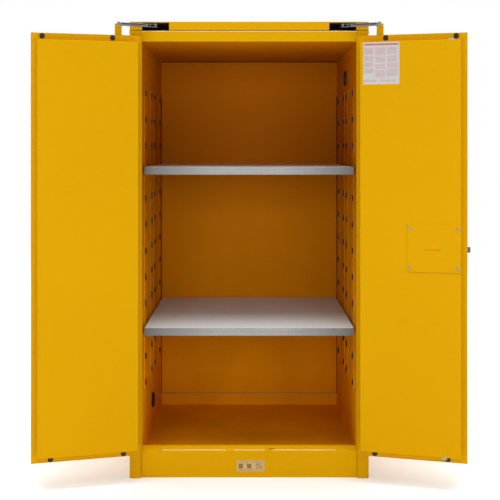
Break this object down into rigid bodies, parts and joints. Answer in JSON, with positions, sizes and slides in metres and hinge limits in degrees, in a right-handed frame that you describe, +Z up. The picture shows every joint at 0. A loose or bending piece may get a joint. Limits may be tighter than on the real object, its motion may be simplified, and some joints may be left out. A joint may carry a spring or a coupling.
{
  "type": "flammable storage cabinet",
  "caption": "Double-walled steel cabinet with two self-closing doors, a leak-proof sill and sump, two adjustable shelves, capped vents and a three-point latch.",
  "frame": {"origin": "centre of the base plate, on the floor", "axes": "+Z up, doors on the -Y side, +X to the right when facing the doors"},
  "size_m": [1.5412, 1.0146, 1.651],
  "materials": {
    "yellow": "semi-gloss powder coat",
    "shelf": "galvanised",
    "zinc": "zinc plated",
    "dark_steel": "matt",
    "brass": "satin",
    "bumper": "matt",
    "vent": "matt",
    "handle": "satin",
    "plate": "printed foil"
  },
  "bodies": {
    "cabinet": {"base_plate": "yellow", "closer_springs": "zinc", "closer_track_left": "dark_steel", "closer_track_right": "dark_steel", "cover_screws": "zinc", "deck_plate": "dark_steel", "flame_screens": "brass", "fusible_links": "brass", "ground_stud": "brass", "hinge_pins": "zinc", "inner_back": "yellow", "inner_ceiling": "yellow", "inner_side_left": "yellow", "inner_side_right": "yellow", "left_frame_hinge_leaf": "yellow", "levelling_feet": "zinc", "outer_back": "yellow", "outer_side_left": "yellow", "outer_side_right": "yellow", "rating_plate": "plate", "right_frame_hinge_leaf": "yellow", "shelf_clips": "zinc", "shelf_lower": "shelf", "shelf_standards_left": "yellow", "shelf_standards_right": "yellow", "shelf_upper": "shelf", "sill_kick_panel": "yellow", "stile_left": "yellow", "stile_right": "yellow", "sump_pan": "yellow", "top_cover": "yellow", "top_rail": "yellow", "vent_bodies": "vent", "vent_caps": "vent"},
    "left_door": {"left_door_outer": "yellow", "left_door_inner": "yellow", "left_door_hinge_leaf": "yellow", "left_door_bumpers": "bumper", "left_closer_bracket": "yellow", "latch_strike": "zinc"},
    "right_door": {"right_door_outer": "yellow", "right_door_inner": "yellow", "right_door_hinge_leaf": "yellow", "right_door_bumpers": "bumper", "right_closer_bracket": "yellow", "latch_cover": "yellow", "latch_cover_screws": "zinc", "latch_rod_guides": "zinc", "handle_plate": "handle"},
    "latch_handle": {"latch_handle": "handle", "latch_drive_disc": "zinc"},
    "latch_rod_top": {"latch_rod_top": "zinc"},
    "latch_rod_bottom": {"latch_rod_bottom": "zinc"},
    "latch_bolt": {"latch_bolt": "zinc"},
    "lock_cylinder": {"lock_cylinder": "brass"},
    "closer_arm_left": {"closer_arm_left": "zinc"},
    "closer_arm_right": {"closer_arm_right": "zinc"}
  },
  "joints": [
    {"name": "left_door_swing", "type": "hinge", "parent": "cabinet", "child": "left_door", "pos_m": [-0.391, -0.4358, 0.845], "axis": [0, 0, 1], "range_deg": [0, 165]},
    {"name": "right_door_swing", "type": "hinge", "parent": "cabinet", "child": "right_door", "pos_m": [0.391, -0.4358, 0.845], "axis": [0, 0, -1], "range_deg": [0, 165]},
    {"name": "left_arm_turn", "type": "hinge", "parent": "left_door", "child": "closer_arm_left", "pos_m": [-0.467, -0.469, 1.637], "axis": [0, 0, 1], "range_deg": [-78.15, 0.5]},
    {"name": "right_arm_turn", "type": "hinge", "parent": "right_door", "child": "closer_arm_right", "pos_m": [0.467, -0.469, 1.637], "axis": [0, 0, -1], "range_deg": [-78.15, 0.5]},
    {"name": "handle_turn", "type": "hinge", "parent": "right_door", "child": "latch_handle", "pos_m": [0.70462, -0.50948, 0.837], "axis": [-0.2588, -0.9659, 0], "range_deg": [0, 60]},
    {"name": "top_rod_slide", "type": "slide", "parent": "right_door", "child": "latch_rod_top", "axis": [0, 0, 1], "range_m": [-0.0001, 0.013]},
    {"name": "bottom_rod_slide", "type": "slide", "parent": "right_door", "child": "latch_rod_bottom", "axis": [0, 0, -1], "range_m": [-0.0001, 0.013]},
    {"name": "bolt_slide", "type": "slide", "parent": "right_door", "child": "latch_bolt", "axis": [-0.9659, 0.2588, 0], "range_m": [0, 0.011], "stiffness_N_per_m": 250},
    {"name": "key_turn", "type": "hinge", "parent": "right_door", "child": "lock_cylinder", "pos_m": [0.70332, -0.51431, 0.789], "axis": [-0.2588, -0.9659, 0], "range_deg": [0, 90]}
  ],
  "couplings": [
    {"joint": "left_arm_turn", "follows": "left_door_swing", "ratio": -0.47062},
    {"joint": "right_arm_turn", "follows": "right_door_swing", "ratio": -0.47062},
    {"joint": "top_rod_slide", "follows": "handle_turn", "m_per_rad": 0.011459},
    {"joint": "bottom_rod_slide", "follows": "handle_turn", "m_per_rad": 0.011459}
  ]
}
